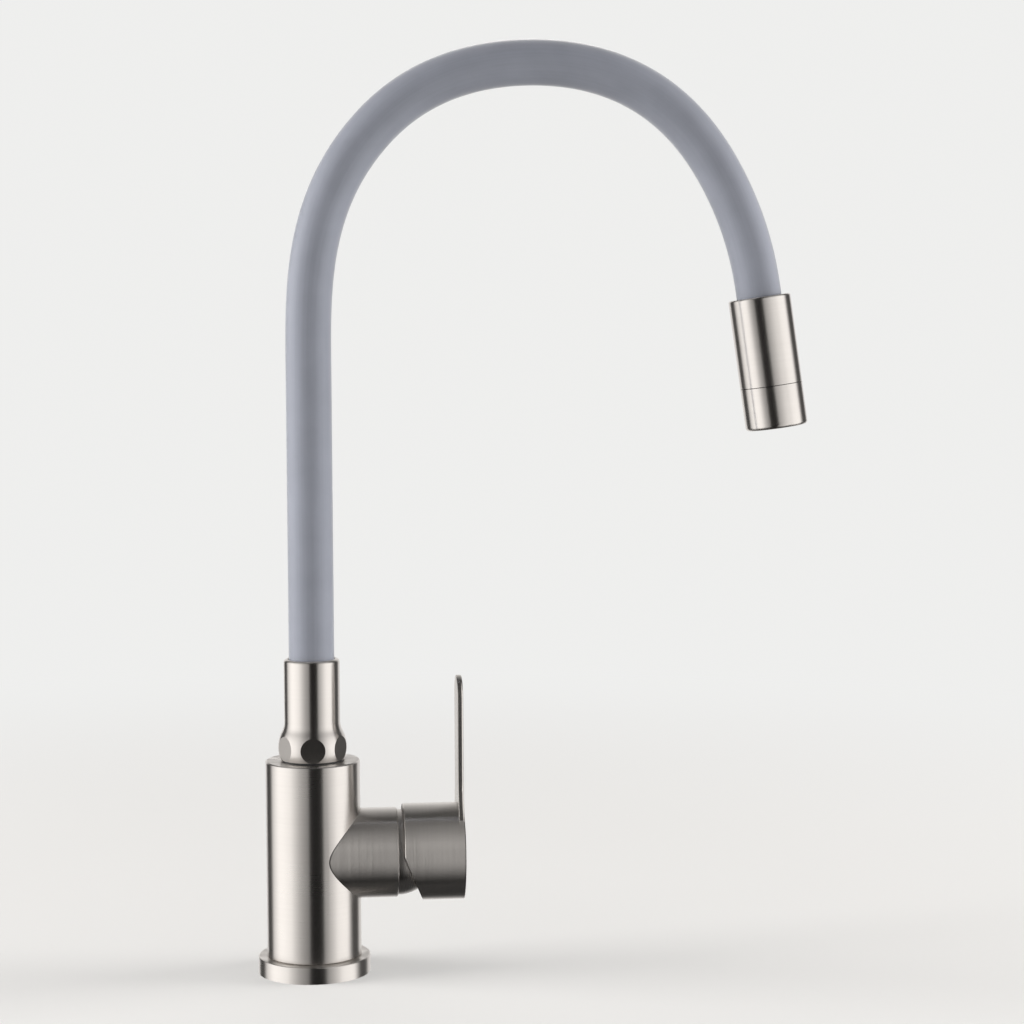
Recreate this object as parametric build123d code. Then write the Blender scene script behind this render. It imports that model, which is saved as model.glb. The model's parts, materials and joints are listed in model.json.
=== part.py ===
"""Single-lever kitchen mixer tap with a shape-holding hose spout.

Millimetres, +Z up. The origin is the centre of the base on the worktop. +X points along the valve housing,
and at rest the hose arches over in the same direction.
"""
import os
from math import asin, cos, degrees, radians, sin, sqrt, tan

from build123d import *

# Fits and gaps
FIT = 0.05              # gap between pieces that are screwed, pressed or brazed together
RUN = 0.05              # gap of a turning fit
LOOSE = 0.3             # gap between pieces that only pass each other
SEAT_GAP = 0.1          # gap of the cartridge and its seat

# Base
COLUMN_D = 45.0
COLUMN_WALL = 2.5
FLANGE_LIP = 4.25       # how far the flange stands out from the column
FLANGE_H = 8.0
FOOT_STEP = 1.2         # the column's foot is this much thinner where it sits in the flange
FOOT_RECESS = 0.4       # foot and inlet block end above the worktop
SHADOW_LINE = 0.5       # chamfer that draws the line above the flange
GASKET_DEPTH = 2.0
GASKET_W = 2.4
INLET_BLOCK_H = 16.0
INLET_CORE_D = 8.92     # core of the M10 x 1 inlet thread
INLET_DEPTH = 12.0
STUD_CORE_D = 5.0       # core of the M6 fixing stud thread
STUD_DEPTH = 12.0
STUD_SPACING = 25.0
TUBE_SEAT = 3.0         # depth of each brazed tube end

# Valve
VALVE_Z = 56.5          # height of the valve axis
CARTRIDGE_D = 35.0
SEAT_WALL = 1.7
HOUSING_WALL = 2.0
HOUSING_REACH = 40.0    # end of the housing from the column's axis, also the lever's tilt pivot
CARTRIDGE_DEPTH = 30.0  # cartridge floor to pivot
SEAT_FLOOR = 6.0
SEAT_BLOCK_D = 30.0
SEAT_BLOCK_BACK = 8.0   # the block ends this far behind the column's axis
PORT_SIDE = 7.5         # hot and cold ports beside the axis
PORT_RISE = 2.5         # hot and cold ports above the axis
PORT_D = 5.6
MIXED_DROP = 8.0        # mixed port below the axis
MIXED_D = 6.4
INLET_TUBE_D = 8.0
MIXED_TUBE_D = 10.0
TUBE_WALL = 0.8

# Cartridge
CARTRIDGE_WALL = 2.0
BASE_H = 7.0
BASE_RIM_H = 4.5
SEAL_DEPTH = 1.2
SEAL_W = 1.4
FIXED_DISC_H = 3.0
MOVING_DISC_H = 3.2
MOVING_DISC_D = 24.0
CARRIER_H = 5.0
CARRIER_FLAT = 9.5      # half width over the guide flats
BALL_D = 5.6
BALL_SINK = 1.2         # ball centre below the carrier's top
ROTOR_FLANGE_H = 2.2
ROTOR_D = 22.0
RAIL_W = 2.0
NECK_D = 28.0
NECK_PAST = 5.0         # neck and rotor reach past the pivot
SHOULDER_H = 2.4
PIN_D = 3.0
SPINDLE_W = 8.0
SPINDLE_H = 7.0
NUT_FLANGE_H = 1.2
NUT_HEX_H = 3.0
NUT_HEX_FLATS = 30.5

# Dome and lever
DOME_STEP = 1.0
DOME_WALL = 1.4
DOME_H = 10.5
LIFT_MAX = 22.0         # degrees from shut to full flow
CAP_CLEAR = 0.8
CAP_WALL = 1.9
CAP_GAP = 2.7           # housing end to the cap's rim
CAP_LENGTH = 28.9
CAP_EDGE = 0.4
BLADE_T = 2.8
BLADE_W = 20.0
BLADE_REACH = 85.0      # valve axis to the tip
BLADE_FLARE = 30.0
BLADE_EDGE = 0.9        # round along the outer face
BLADE_BACK_EDGE = 0.4   # round along the face towards the column
CUT_RISE = 2.0          # start of the slanted rim above the valve axis
CUT_ANGLE = 20.9        # degrees from upright
HUB_D = 15.0
HUB_START = 12.5        # hub from the pivot
GRUB_D = 5.0
GRUB_LENGTH = 6.0
GRUB_HEX = 2.5
PLUG_D = 6.0

# Swivel
TOP_RISE = 45.5         # column top above the valve axis
TOP_PLATE = 5.0
TOP_EDGE = 0.5
SOCKET_D = 24.0
SOCKET_DEPTH = 22.0
SOCKET_FLOOR = 6.0
SOCKET_FLANGE = 2.0
SPIGOT_D = 17.9
SPIGOT_BORE_WALL = 3.6
O_RING_D = 1.9
O_RING_PITCH = 4.5
SNAP_RING_H = 1.2
SNAP_RING_BITE = 0.9
SLIP_RING_H = 0.6
SLIP_RING_W = 5.5

# Collar
COLLAR_FLOOR = 3.4
COLLAR_WALL = 2.15
COLLAR_BULGE = 3.0      # bulge over the neck
COLLAR_BULGE_RISE = 5.8 # bulge centre above the collar's foot
COLLAR_FILLET = 9.0
COLLAR_H = 47.9
COLLAR_RIM = 1.5
COLLAR_FLATS = 6
FLAT_DEPTH = 1.1
SPIGOT_FLANGE_H = 2.5

# Hose
HOSE_D = 21.6
HOSE_PLAY = 0.35        # gap to the collar and the head
SLEEVE_WALL = 2.6
LAYER_GAP = 0.2
CORE_WALL = 1.8
WATER_WALL = 1.7
RISER_TOP_Z = 286.0
FLEX_RUN = 12.5         # straight run at each flexing point
FLEX_MAX = 20.0         # degrees of bend that each flexing point allows
EASE_BEND_R = 340.0     # the bends in order up from the riser
EASE_BEND = 6.5         # degrees of turn, as for each bend below
SHOULDER_BEND_R = 116.0
SHOULDER_BEND = 34.5
TOP_BEND_R = 92.0
TOP_BEND = 32.5
CROWN_BEND_R = 108.0
FALL_BEND_R = 86.0
FALL_BEND = 33.0
DROP_BEND_R = 97.0
DROP_BEND = 30.0
TIP_BEND_R = 130.0
TIP_BEND = 19.0
TIP_RUN = 7.3           # straight end above the head
NIPPLE_LENGTH = 20.0
NIPPLE_WALL = 1.2
CRIMP_WALL = 0.9
CRIMP_LENGTH = 14.0

# Spray head
HEAD_STEP = 4.15        # head over the hose
HEAD_SHELL_LENGTH = 42.6
RING_LENGTH = 20.3      # outlet ring below the shell
HEAD_WALL = 1.5
HEAD_TOP = 2.0
HEAD_EDGE = 1.0
HOSE_INSERT = 12.0      # hose inside the head
FITTING_H = 7.5
FITTING_LIP = 1.0       # fitting above the head core
FITTING_D = 18.8
HEAD_CORE_FLOOR = 8.0
TURN_D = 20.0           # turning spigot of the outlet ring
TURN_LIP = 4.1          # spigot below its snap ring
TURN_CLEAR = 1.9        # spigot end to the selector disc
RING_WALL = 1.7
RING_WEB = 3.0
RING_EDGE = 1.6
SELECTOR_H = 1.6
SELECTOR_HOLES = 8
FACE_H = 2.4
FACE_RECESS = 1.2
AERATOR_D = 12.0
AERATOR_RINGS = 2
AERATOR_HOLE_D = 1.7
NOZZLES = 12
NOZZLE_D = 2.8
NOZZLE_HOLE_D = 1.0
NOZZLE_REACH = 0.7

# Sizes that follow from the ones above
COLUMN_R = COLUMN_D / 2
COLUMN_BORE_R = COLUMN_R - COLUMN_WALL
COLUMN_TOP_Z = VALVE_Z + TOP_RISE
FLANGE_R = COLUMN_R + FLANGE_LIP
FOOT_R = COLUMN_R - FOOT_STEP
BLOCK_TOP_Z = FOOT_RECESS + INLET_BLOCK_H
SEAT_BORE_R = CARTRIDGE_D / 2 + SEAT_GAP
SEAT_R = SEAT_BORE_R + SEAT_WALL
HOUSING_BORE_R = SEAT_R + SEAT_GAP
HOUSING_R = HOUSING_BORE_R + HOUSING_WALL
CARTRIDGE_R = CARTRIDGE_D / 2
CHAMBER_R = CARTRIDGE_R - CARTRIDGE_WALL
PORTS = ((-PORT_SIDE, PORT_RISE, PORT_D), (PORT_SIDE, PORT_RISE, PORT_D), (0, -MIXED_DROP, MIXED_D))

# Stations along the valve axis, measured from the column's axis
PIVOT = HOUSING_REACH
FLOOR = PIVOT - CARTRIDGE_DEPTH
BASE_TOP = FLOOR + BASE_H
FIXED_TOP = BASE_TOP + FIXED_DISC_H
MOVING_TOP = FIXED_TOP + MOVING_DISC_H
CARRIER_TOP = MOVING_TOP + CARRIER_H
BALL = CARRIER_TOP - BALL_SINK
ROTOR_FOOT = CARRIER_TOP + LOOSE
ROTOR_STEP = ROTOR_FOOT + ROTOR_FLANGE_H
SHOULDER = ROTOR_STEP + LOOSE
NECK_FOOT = SHOULDER + SHOULDER_H
NECK_END = PIVOT + NECK_PAST
NUT_FLANGE_END = PIVOT + NUT_FLANGE_H
NUT_END = NUT_FLANGE_END + NUT_HEX_H
BALL_ARM = PIVOT - BALL
DISC_TRAVEL = BALL_ARM * sin(radians(LIFT_MAX))
CAP_RIM = PIVOT + CAP_GAP
CAP_END = CAP_RIM + CAP_LENGTH
CAP_FLOOR = CAP_END - BLADE_T
DOME_R = HOUSING_R - DOME_STEP
CAP_BORE_R = DOME_R + CAP_CLEAR
CAP_R = CAP_BORE_R + CAP_WALL
HUB = PIVOT + HUB_START
SPINDLE_END = CAP_FLOOR - LOOSE
GRUB_X = (HUB + CAP_FLOOR) / 2

# Swivel, collar and hose
SOCKET_FOOT_Z = COLUMN_TOP_Z - SOCKET_DEPTH
SOCKET_BORE_Z = SOCKET_FOOT_Z + SOCKET_FLOOR
SPIGOT_R = SPIGOT_D / 2
SOCKET_BORE_R = SPIGOT_R + RUN
SPIGOT_FOOT_Z = SOCKET_BORE_Z + LOOSE
SNAP_RING_Z = SPIGOT_FOOT_Z + SNAP_RING_H
COLLAR_FOOT_Z = COLUMN_TOP_Z + SLIP_RING_H + 2 * FIT
COLLAR_TOP_Z = COLLAR_FOOT_Z + COLLAR_H
COLLAR_SHELF_Z = COLLAR_FOOT_Z + COLLAR_FLOOR
SPIGOT_SHELF_Z = COLLAR_SHELF_Z + SPIGOT_FLANGE_H
HOSE_R = HOSE_D / 2
SLEEVE_BORE_R = HOSE_R - SLEEVE_WALL
CORE_R = SLEEVE_BORE_R - LAYER_GAP
CORE_BORE_R = CORE_R - CORE_WALL
WATER_R = CORE_BORE_R - LAYER_GAP
WATER_BORE_R = WATER_R - WATER_WALL
NIPPLE_R = WATER_BORE_R - FIT
NIPPLE_BORE_R = NIPPLE_R - NIPPLE_WALL
COLLAR_BORE_R = HOSE_R + HOSE_PLAY
COLLAR_R = COLLAR_BORE_R + COLLAR_WALL
HOSE_FOOT_Z = SPIGOT_SHELF_Z + LAYER_GAP
CRIMP_FOOT_Z = HOSE_FOOT_Z + LAYER_GAP
CORE_FOOT_Z = CRIMP_FOOT_Z + CRIMP_LENGTH + LAYER_GAP

# Spray head, measured down its own axis from its top
HEAD_R = HOSE_R + HEAD_STEP
HEAD_BORE_R = HEAD_R - HEAD_WALL
FITTING_TOP = HOSE_INSERT + LAYER_GAP
FITTING_END = FITTING_TOP + FITTING_H
HEAD_CORE_TOP = FITTING_TOP + FITTING_LIP
CRIMP_TOP = HOSE_INSERT - LAYER_GAP - CRIMP_LENGTH
RING_TOP = HEAD_SHELL_LENGTH + LOOSE
HEAD_LENGTH = RING_TOP + RING_LENGTH
RING_BORE_R = HEAD_R - RING_WALL
FACE_END = HEAD_LENGTH - FACE_RECESS
FACE_TOP = FACE_END - FACE_H
SELECTOR_TOP = FACE_TOP - SELECTOR_H
TURN_END = SELECTOR_TOP - TURN_CLEAR
OUTLET_SNAP = TURN_END - TURN_LIP
HUB_END = OUTLET_SNAP - FIT

VALVE = Plane(origin=(0, 0, VALVE_Z), x_dir=(0, 1, 0), z_dir=(1, 0, 0))
QUARTER_TURN = 90
HALF_TURN = 2 * QUARTER_TURN
FULL_TURN = 4 * QUARTER_TURN
STRAIGHT = "straight"
BEND = "bend"


def rod(radius, low, high):
    """A round bar along local Z."""
    return Pos(0, 0, low) * Cylinder(radius, high - low, align=(Align.CENTER, Align.CENTER, Align.MIN))


def pipe(outer, inner, low, high):
    """A round tube along local Z."""
    return rod(outer, low, high) - rod(inner, low, high)


def block(width, depth, low, high):
    """A rectangular bar along local Z."""
    return Pos(0, 0, low) * Box(width, depth, high - low, align=(Align.CENTER, Align.CENTER, Align.MIN))


def turned(outline):
    """A solid turned about local Z from a closed outline of radius and height."""
    return revolve(Plane.XZ * make_face(outline.edges()), Axis.Z)


def arc_about(centre, radius, start, end):
    """The arc of a circle between two angles in degrees."""
    return CenterArc(centre, radius, start, end - start)


def cord_ring(ring_radius, cord_diameter):
    """A round rubber ring."""
    return Torus(ring_radius, cord_diameter / 2)


def split_ring(outer, inner, low, high, gap):
    """An open spring ring."""
    return pipe(outer, inner, low, high) - Pos(outer / 2, 0, 0) * block(outer, gap, low, high)


def rim_edges(solid, axis, station, radius):
    """Round edges of one radius at one station along an axis."""
    found = solid.edges().filter_by(GeomType.CIRCLE)
    found = found.filter_by(lambda edge: abs(edge.radius - radius) < FIT)
    along = {Axis.X: "X", Axis.Z: "Z"}[axis]
    return found.filter_by(lambda edge: abs(getattr(edge.arc_center, along) - station) < FIT)


# Base
def make_base_flange():
    bore = FOOT_R + FIT
    ring = pipe(FLANGE_R, bore, 0, FLANGE_H)
    ring = fillet(rim_edges(ring, Axis.Z, FLANGE_H, FLANGE_R), SHADOW_LINE)
    return ring - pipe(*gasket_radii(), 0, GASKET_DEPTH)


def gasket_radii():
    """Outer and inner radius of the gasket's groove, in the middle of the flange."""
    middle = (FLANGE_R + FOOT_R + FIT) / 2
    return middle + GASKET_W / 2, middle - GASKET_W / 2


def make_base_gasket():
    outer, inner = gasket_radii()
    return pipe(outer - FIT, inner + FIT, 0, GASKET_DEPTH - FIT)


def make_body_shell():
    column = rod(COLUMN_R, FLANGE_H + FIT, COLUMN_TOP_Z)
    column = chamfer(rim_edges(column, Axis.Z, FLANGE_H + FIT, COLUMN_R), SHADOW_LINE)
    column = chamfer(rim_edges(column, Axis.Z, COLUMN_TOP_Z, COLUMN_R), TOP_EDGE)
    housing = VALVE * rod(HOUSING_R, 0, HOUSING_REACH)
    housing = chamfer(rim_edges(housing, Axis.X, HOUSING_REACH, HOUSING_R), TOP_EDGE)
    shell = column + housing + rod(FOOT_R, FOOT_RECESS, FLANGE_H + FIT)
    shell -= rod(COLUMN_BORE_R, 0, COLUMN_TOP_Z - TOP_PLATE)
    shell -= VALVE * rod(HOUSING_BORE_R, 0, HOUSING_REACH)
    return shell - rod(SOCKET_D / 2 + FIT, 0, COLUMN_TOP_Z)


def make_inlet_block():
    plug = rod(COLUMN_BORE_R - FIT, FOOT_RECESS, BLOCK_TOP_Z)
    for side in (-PORT_SIDE, PORT_SIDE):
        inlet = rod(INLET_CORE_D / 2, FOOT_RECESS, FOOT_RECESS + INLET_DEPTH)
        inlet += rod(PORT_D / 2, FOOT_RECESS, BLOCK_TOP_Z)
        inlet += rod(INLET_TUBE_D / 2 + FIT, BLOCK_TOP_Z - TUBE_SEAT, BLOCK_TOP_Z)
        plug -= Pos(0, side, 0) * inlet
    for side in (-STUD_SPACING / 2, STUD_SPACING / 2):
        plug -= Pos(side, 0, 0) * rod(STUD_CORE_D / 2, FOOT_RECESS, FOOT_RECESS + STUD_DEPTH)
    return plug


def make_inlet_tube(side):
    top = VALVE_Z + PORT_RISE - PORT_D / 2 - TUBE_SEAT
    tube = pipe(INLET_TUBE_D / 2, INLET_TUBE_D / 2 - TUBE_WALL, BLOCK_TOP_Z - TUBE_SEAT, top)
    return Pos(0, side, 0) * tube


# Valve seat and its pipes
def make_valve_seat():
    front = NECK_FOOT - SHOULDER_H
    seat = VALVE * rod(SEAT_R, FLOOR - SEAT_FLOOR, front)
    seat += VALVE * rod(SEAT_BLOCK_D / 2, -SEAT_BLOCK_BACK, FLOOR)
    seat -= VALVE * rod(SEAT_BORE_R, FLOOR, front)
    low = VALVE_Z - SEAT_R
    inlet_z = VALVE_Z + PORT_RISE
    tube_top = inlet_z - PORT_D / 2 - TUBE_SEAT
    for side, rise, bore in PORTS:
        seat -= VALVE * Pos(side, rise, 0) * rod(bore / 2, 0, FLOOR)
    for side in (-PORT_SIDE, PORT_SIDE):
        seat -= Pos(0, side, 0) * rod(PORT_D / 2, low, inlet_z)
        seat -= Pos(0, side, 0) * rod(INLET_TUBE_D / 2 + FIT, low, tube_top)
    mixed_z = VALVE_Z - MIXED_DROP
    seat -= rod(MIXED_D / 2, mixed_z, VALVE_Z + SEAT_R)
    return seat - rod(MIXED_TUBE_D / 2 + FIT, mixed_tube_foot(), VALVE_Z + SEAT_R)


def mixed_tube_foot():
    return VALVE_Z + SEAT_BLOCK_D / 2 - TUBE_SEAT


def make_mixed_water_tube():
    outer = MIXED_TUBE_D / 2
    return pipe(outer, outer - TUBE_WALL, mixed_tube_foot(), SOCKET_FOOT_Z + TUBE_SEAT)


# Cartridge
def port_rings(low, high, fit):
    """Seal rings, or their seats, round the three ports."""
    rings = []
    for side, rise, bore in PORTS:
        rings.append(VALVE * Pos(side, rise, 0) * pipe(bore / 2 + SEAL_W - fit, bore / 2 + fit, low, high))
    return rings


def cut_ports(solid, low, high):
    for side, rise, bore in PORTS:
        solid -= VALVE * Pos(side, rise, 0) * rod(bore / 2, low, high)
    return solid


def make_cartridge_base():
    base = VALVE * rod(CARTRIDGE_R, FLOOR, FLOOR + BASE_RIM_H)
    base += VALVE * rod(CHAMBER_R - FIT, FLOOR, BASE_TOP)
    for ring in port_rings(FLOOR, FLOOR + SEAL_DEPTH, 0) + port_rings(BASE_TOP - SEAL_DEPTH, BASE_TOP, 0):
        base -= ring
    return cut_ports(base, FLOOR, BASE_TOP)


def make_seat_seals():
    return Compound(port_rings(FLOOR, FLOOR + SEAL_DEPTH - FIT, FIT))


def make_disc_seals():
    return Compound(port_rings(BASE_TOP - SEAL_DEPTH + FIT, BASE_TOP, FIT))


def make_fixed_ceramic_disc():
    return cut_ports(VALVE * rod(CHAMBER_R - SEAT_GAP, BASE_TOP, FIXED_TOP), BASE_TOP, FIXED_TOP)


def make_cartridge_housing():
    shell = pipe(CARTRIDGE_R, CHAMBER_R, FLOOR + BASE_RIM_H, SHOULDER)
    shell += rod(CARTRIDGE_R, SHOULDER, NECK_FOOT)
    shell += rod(NECK_D / 2, NECK_FOOT, NECK_END)
    return VALVE * (shell - rod(ROTOR_D / 2 + RUN, SHOULDER, NECK_END))


def make_retaining_nut():
    nut = rod(HOUSING_BORE_R - SEAT_GAP, NECK_FOOT, PIVOT)
    nut += rod(DOME_R - DOME_WALL - FIT, PIVOT, NUT_FLANGE_END)
    nut += extrude(Pos(0, 0, NUT_FLANGE_END) * RegularPolygon(NUT_HEX_FLATS / 2, 6, major_radius=False), NUT_HEX_H)
    return VALVE * (nut - rod(NECK_D / 2 + SEAT_GAP, NECK_FOOT, NUT_END))


def make_dome_cover():
    inner = DOME_R - DOME_WALL
    open_r = sqrt(DOME_R ** 2 - DOME_H ** 2)
    open_in = sqrt(inner ** 2 - DOME_H ** 2)
    tilt_out = degrees(asin(DOME_H / DOME_R))
    tilt_in = degrees(asin(DOME_H / inner))
    outline = arc_about((0, 0), DOME_R, 0, tilt_out)
    outline += Line((open_r, DOME_H), (open_in, DOME_H))
    outline += arc_about((0, 0), inner, 0, tilt_in)
    outline += Line((inner, 0), (DOME_R, 0))
    return VALVE * Pos(0, 0, PIVOT) * turned(outline)


# Moving pieces of the cartridge
def make_cartridge_rotor():
    rotor = VALVE * rod(CHAMBER_R - LOOSE, ROTOR_FOOT, ROTOR_STEP)
    rotor += VALVE * rod(ROTOR_D / 2, ROTOR_STEP, NECK_END)
    rail_at = CARRIER_FLAT + SEAT_GAP + RAIL_W / 2
    rail_long = 2 * sqrt((CHAMBER_R - LOOSE) ** 2 - (rail_at + RAIL_W / 2) ** 2) - 2 * LOOSE
    for side in (-rail_at, rail_at):
        rotor += VALVE * Pos(side, 0, 0) * block(RAIL_W, rail_long, MOVING_TOP + LOOSE, ROTOR_FOOT)
    rotor -= spindle_slot()
    return rotor - VALVE * Pos(0, 0, PIVOT) * Rot(0, QUARTER_TURN, 0) * rod(PIN_D / 2 + FIT, -ROTOR_D, ROTOR_D)


def spindle_slot():
    """Room for the spindle from shut to full flow: above the axis inside the pivot, below it outside."""
    half = SPINDLE_H / 2 + LOOSE
    tilted = SPINDLE_H / 2 / cos(radians(LIFT_MAX)) + LOOSE
    slope = tan(radians(LIFT_MAX))
    inside = PIVOT - ROTOR_FOOT + LOOSE
    outside = NECK_PAST + LOOSE
    outline = Polyline(
        (-inside, -half),
        (-inside, inside * slope + tilted),
        (0, tilted),
        (outside, tilted),
        (outside, -outside * slope - tilted),
        (0, -tilted),
        close=True,
    )
    face = Plane(origin=(PIVOT, 0, VALVE_Z), x_dir=(1, 0, 0), z_dir=(0, -1, 0)) * make_face(outline)
    return extrude(face, SPINDLE_W / 2 + SEAT_GAP, both=True)


def make_spindle_pin():
    half = ROTOR_D / 2 - LOOSE
    return VALVE * Pos(0, 0, PIVOT) * Rot(0, QUARTER_TURN, 0) * rod(PIN_D / 2, -half, half)


def square_reach():
    """Pivot to the spindle's square, whose lower corner stays outside the rotor at full flow."""
    lift = radians(LIFT_MAX)
    return (NECK_PAST + LOOSE + SPINDLE_W / 2 * sin(lift)) / cos(lift)


def make_cartridge_spindle():
    neck_end = ROTOR_STEP + LOOSE
    square = PIVOT + square_reach()
    spindle = Pos(0, 0, BALL) * Sphere(BALL_D / 2) + rod(BALL_D / 2 - 2 * LOOSE, BALL, neck_end)
    spindle += block(SPINDLE_W, SPINDLE_H, neck_end, square)
    spindle += block(SPINDLE_W, SPINDLE_W, square, SPINDLE_END)
    spindle -= Pos(0, 0, PIVOT) * Rot(0, QUARTER_TURN, 0) * rod(PIN_D / 2 + RUN, -SPINDLE_W, SPINDLE_W)
    return VALVE * spindle


def make_disc_carrier():
    shift = -DISC_TRAVEL / 2
    carrier = Pos(0, shift, 0) * rod(MOVING_DISC_D / 2, MOVING_TOP, CARRIER_TOP)
    carrier &= block(2 * CARRIER_FLAT, 2 * CHAMBER_R, MOVING_TOP, CARRIER_TOP)
    pocket = BALL_D + 2 * LOOSE
    carrier -= block(pocket, pocket, BALL - BALL_D / 2 - SEAT_GAP, CARRIER_TOP)
    return VALVE * carrier


def make_moving_ceramic_disc():
    shift = -DISC_TRAVEL / 2
    disc = Pos(0, shift, 0) * rod(MOVING_DISC_D / 2, FIXED_TOP + RUN, MOVING_TOP)
    mouth = MIXED_D / 2
    across = PORT_RISE - PORT_D / 2 - mouth - LOOSE
    depth = FIXED_TOP + MOVING_DISC_H / 2
    disc -= Pos(0, across, 0) * block(2 * PORT_SIDE, 2 * mouth, FIXED_TOP, depth)
    disc -= Pos(0, -MIXED_DROP / 2 - mouth, 0) * block(2 * mouth, MIXED_DROP - mouth, FIXED_TOP, depth)
    return VALVE * disc


# Lever
def make_lever_handle():
    cup = chamfer(rim_edges(rod(CAP_R, CAP_RIM, CAP_END), Axis.Z, CAP_RIM, CAP_R), CAP_EDGE)
    cup += make_blade()
    cup -= rod(CAP_BORE_R, CAP_RIM, CAP_FLOOR)
    cup += rod(HUB_D / 2, HUB, CAP_FLOOR)
    socket = SPINDLE_W + 2 * FIT
    cup -= block(socket, socket, HUB, SPINDLE_END + FIT)
    cup = VALVE * cup - tilt_cut()
    cup -= Pos(GRUB_X, 0, VALVE_Z) * Rot(HALF_TURN, 0, 0) * rod(GRUB_D / 2 + FIT, 0, HUB_D)
    return cup - Pos(GRUB_X, 0, VALVE_Z) * Rot(HALF_TURN, 0, 0) * rod(PLUG_D / 2 + FIT, HUB_D, 2 * CAP_R)


def make_blade():
    """Flat lever that flares into the round end of the cap."""
    tip = BLADE_REACH - BLADE_W / 2
    outline = Circle(CAP_R)
    outline += Pos(0, tip / 2) * Rectangle(BLADE_W, tip)
    outline += Pos(0, tip) * Circle(BLADE_W / 2)
    meet = sqrt(CAP_R ** 2 - (BLADE_W / 2) ** 2)
    corners = outline.vertices().filter_by(lambda corner: abs(corner.Y - meet) < FIT)
    outline = fillet(corners, BLADE_FLARE)
    blade = extrude(Pos(0, 0, CAP_FLOOR) * outline, BLADE_T)
    outer = blade.edges().filter_by(lambda edge: abs(edge.center().Z - CAP_END) < FIT)
    blade = fillet(outer, BLADE_EDGE)
    inner = blade.edges().filter_by(lambda edge: abs(edge.center().Z - CAP_FLOOR) < FIT)
    return fillet(inner.filter_by(lambda edge: edge.center().Y > CAP_R), BLADE_BACK_EDGE)


def tilt_cut():
    """Slanted lower rim that lets the cap tilt."""
    low = -2 * CAP_R
    run = (CUT_RISE - low) * tan(radians(CUT_ANGLE))
    outline = Polyline(
        (CAP_RIM - CAP_EDGE, CUT_RISE),
        (CAP_RIM, CUT_RISE),
        (CAP_RIM + run, low),
        (CAP_RIM - CAP_EDGE, low),
        close=True,
    )
    face = Plane(origin=(0, 0, VALVE_Z), x_dir=(1, 0, 0), z_dir=(0, -1, 0)) * make_face(outline)
    return extrude(face, 2 * CAP_R, both=True)


def make_handle_grub_screw():
    start = SPINDLE_W / 2 + FIT
    screw = rod(GRUB_D / 2, start, start + GRUB_LENGTH)
    hexagon = Pos(0, 0, start + GRUB_LENGTH / 2) * RegularPolygon(GRUB_HEX / 2, 6, major_radius=False)
    screw -= extrude(hexagon, GRUB_LENGTH)
    return Pos(GRUB_X, 0, VALVE_Z) * Rot(HALF_TURN, 0, 0) * screw


def make_grub_screw_plug():
    plug = Pos(GRUB_X, 0, VALVE_Z) * Rot(HALF_TURN, 0, 0) * rod(PLUG_D / 2, 0, 2 * CAP_R)
    return plug & VALVE * pipe(CAP_R - FIT, CAP_BORE_R, CAP_RIM, CAP_END)


# Swivel
def o_ring_heights():
    middle = (SNAP_RING_Z + SNAP_RING_H + COLUMN_TOP_Z) / 2
    return middle - O_RING_PITCH / 2, middle + O_RING_PITCH / 2


def make_spigot_socket():
    socket = rod(SOCKET_D / 2, SOCKET_FOOT_Z, COLUMN_TOP_Z - FIT)
    plate = COLUMN_TOP_Z - TOP_PLATE - FIT
    socket += rod(SOCKET_D / 2 + SOCKET_FLANGE, plate - SOCKET_FLANGE, plate)
    socket -= rod(SOCKET_BORE_R, SOCKET_BORE_Z, COLUMN_TOP_Z)
    socket -= rod(MIXED_TUBE_D / 2 + FIT, SOCKET_FOOT_Z, SOCKET_FOOT_Z + TUBE_SEAT)
    socket -= rod(MIXED_D / 2, SOCKET_FOOT_Z, SOCKET_BORE_Z)
    groove = SPIGOT_R + SNAP_RING_BITE + LOOSE
    return socket - rod(groove, SNAP_RING_Z - LOOSE, SNAP_RING_Z + SNAP_RING_H + LOOSE)


def make_swivel_spigot():
    spigot = rod(SPIGOT_R, SPIGOT_FOOT_Z, COLLAR_SHELF_Z)
    spigot += rod(COLLAR_BORE_R - FIT, COLLAR_SHELF_Z, SPIGOT_SHELF_Z)
    spigot += rod(NIPPLE_R, SPIGOT_SHELF_Z, SPIGOT_SHELF_Z + NIPPLE_LENGTH)
    spigot -= rod(NIPPLE_BORE_R, COLLAR_FOOT_Z, SPIGOT_SHELF_Z + NIPPLE_LENGTH)
    spigot -= rod(SPIGOT_R - SPIGOT_BORE_WALL, SPIGOT_FOOT_Z, COLLAR_FOOT_Z)
    for height in o_ring_heights():
        half = O_RING_D / 2 + FIT
        spigot -= pipe(SPIGOT_D, SPIGOT_R - O_RING_D + FIT, height - half, height + half)
    return spigot - pipe(SPIGOT_D, SPIGOT_R - SNAP_RING_BITE, SNAP_RING_Z - FIT, SNAP_RING_Z + SNAP_RING_H + FIT)


def make_spigot_o_rings():
    ring = cord_ring(SPIGOT_R - O_RING_D / 2 + 2 * FIT, O_RING_D - 2 * FIT)
    return Compound([Pos(0, 0, height) * ring for height in o_ring_heights()])


def make_swivel_snap_ring():
    outer = SPIGOT_R + SNAP_RING_BITE
    return split_ring(outer, SPIGOT_R - SNAP_RING_BITE + FIT, SNAP_RING_Z, SNAP_RING_Z + SNAP_RING_H, SPIGOT_R / 2)


def make_swivel_slip_ring():
    low = COLUMN_TOP_Z + FIT
    return pipe(SPIGOT_R + FIT + SLIP_RING_W, SPIGOT_R + FIT, low, low + SLIP_RING_H)


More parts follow.
